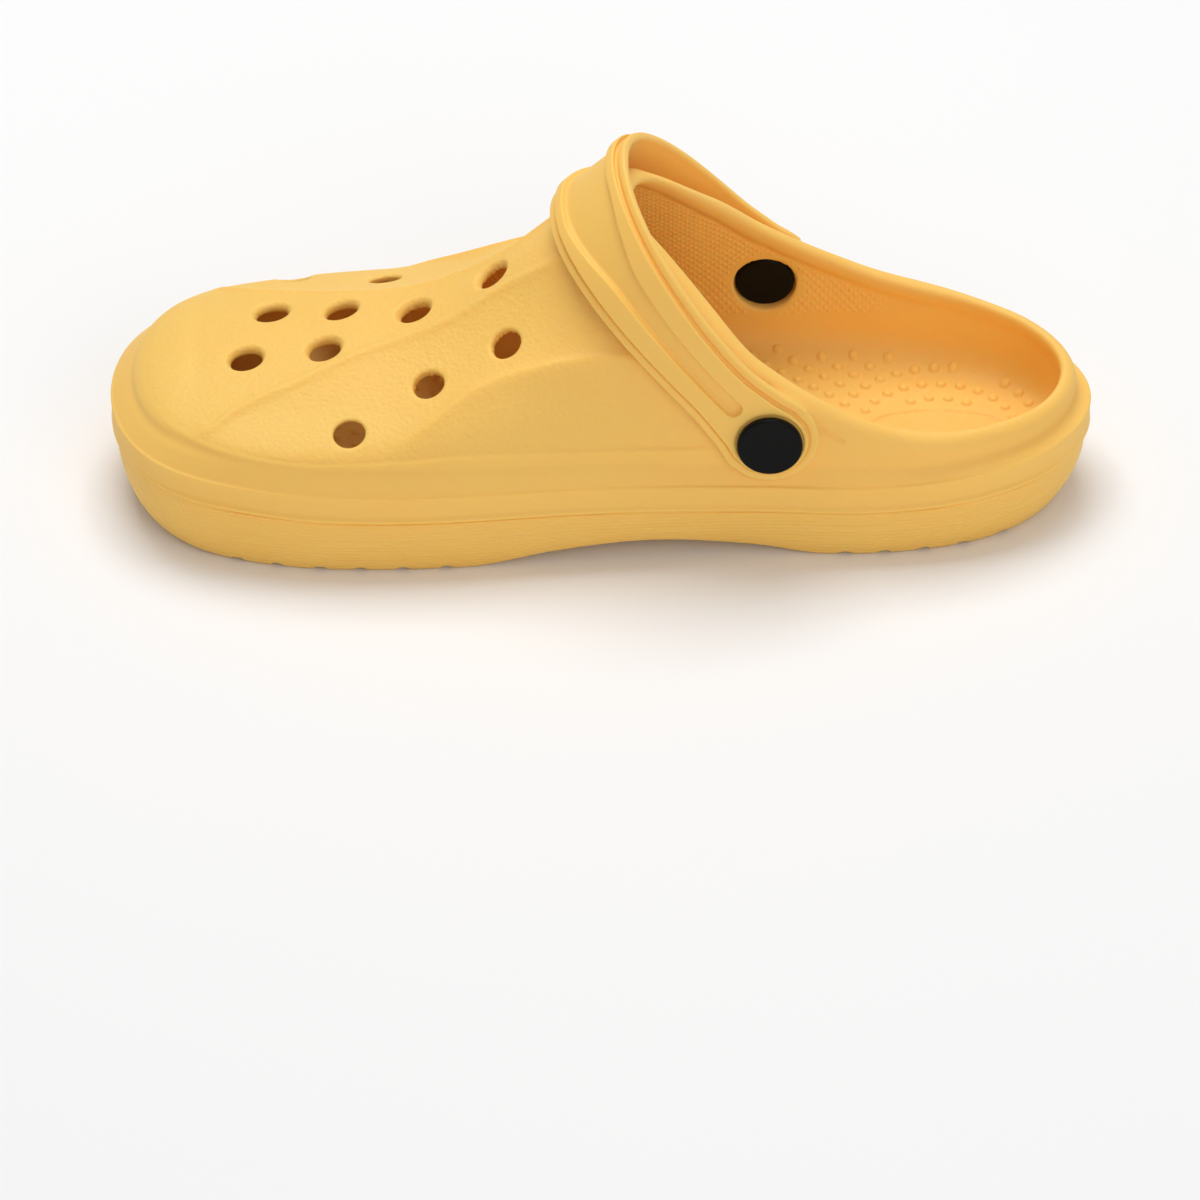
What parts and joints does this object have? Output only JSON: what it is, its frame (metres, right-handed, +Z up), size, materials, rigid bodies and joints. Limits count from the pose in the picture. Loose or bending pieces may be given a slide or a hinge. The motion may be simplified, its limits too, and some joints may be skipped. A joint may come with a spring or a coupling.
{
  "type": "garden clog",
  "caption": "Slip-on garden clog in moulded foam with a vented upper and a heel strap that turns on side rivets, folded forward over the instep.",
  "frame": {"origin": "on the ground under the middle of the clog's bounding box", "axes": "+X from heel to toe, +Y towards the outer (lateral) side of the left foot, +Z up"},
  "size_m": [0.275, 0.102, 0.1074],
  "materials": {
    "body_foam": "matte moulded EVA foam",
    "strap_foam": "matte moulded EVA foam",
    "rivet": "satin black plastic"
  },
  "bodies": {
    "clog": {"clog_body": "body_foam", "rivet_stud_lateral": "rivet", "rivet_stud_medial": "rivet", "rivet_cap_lateral": "rivet", "rivet_cap_medial": "rivet"},
    "strap": {"heel_strap": "strap_foam"}
  },
  "joints": [
    {"name": "strap_hinge", "type": "hinge", "parent": "clog", "child": "strap", "pos_m": [-0.0464, 0, 0.042], "axis": [0, -1, 0], "range_deg": [0, 110]}
  ]
}
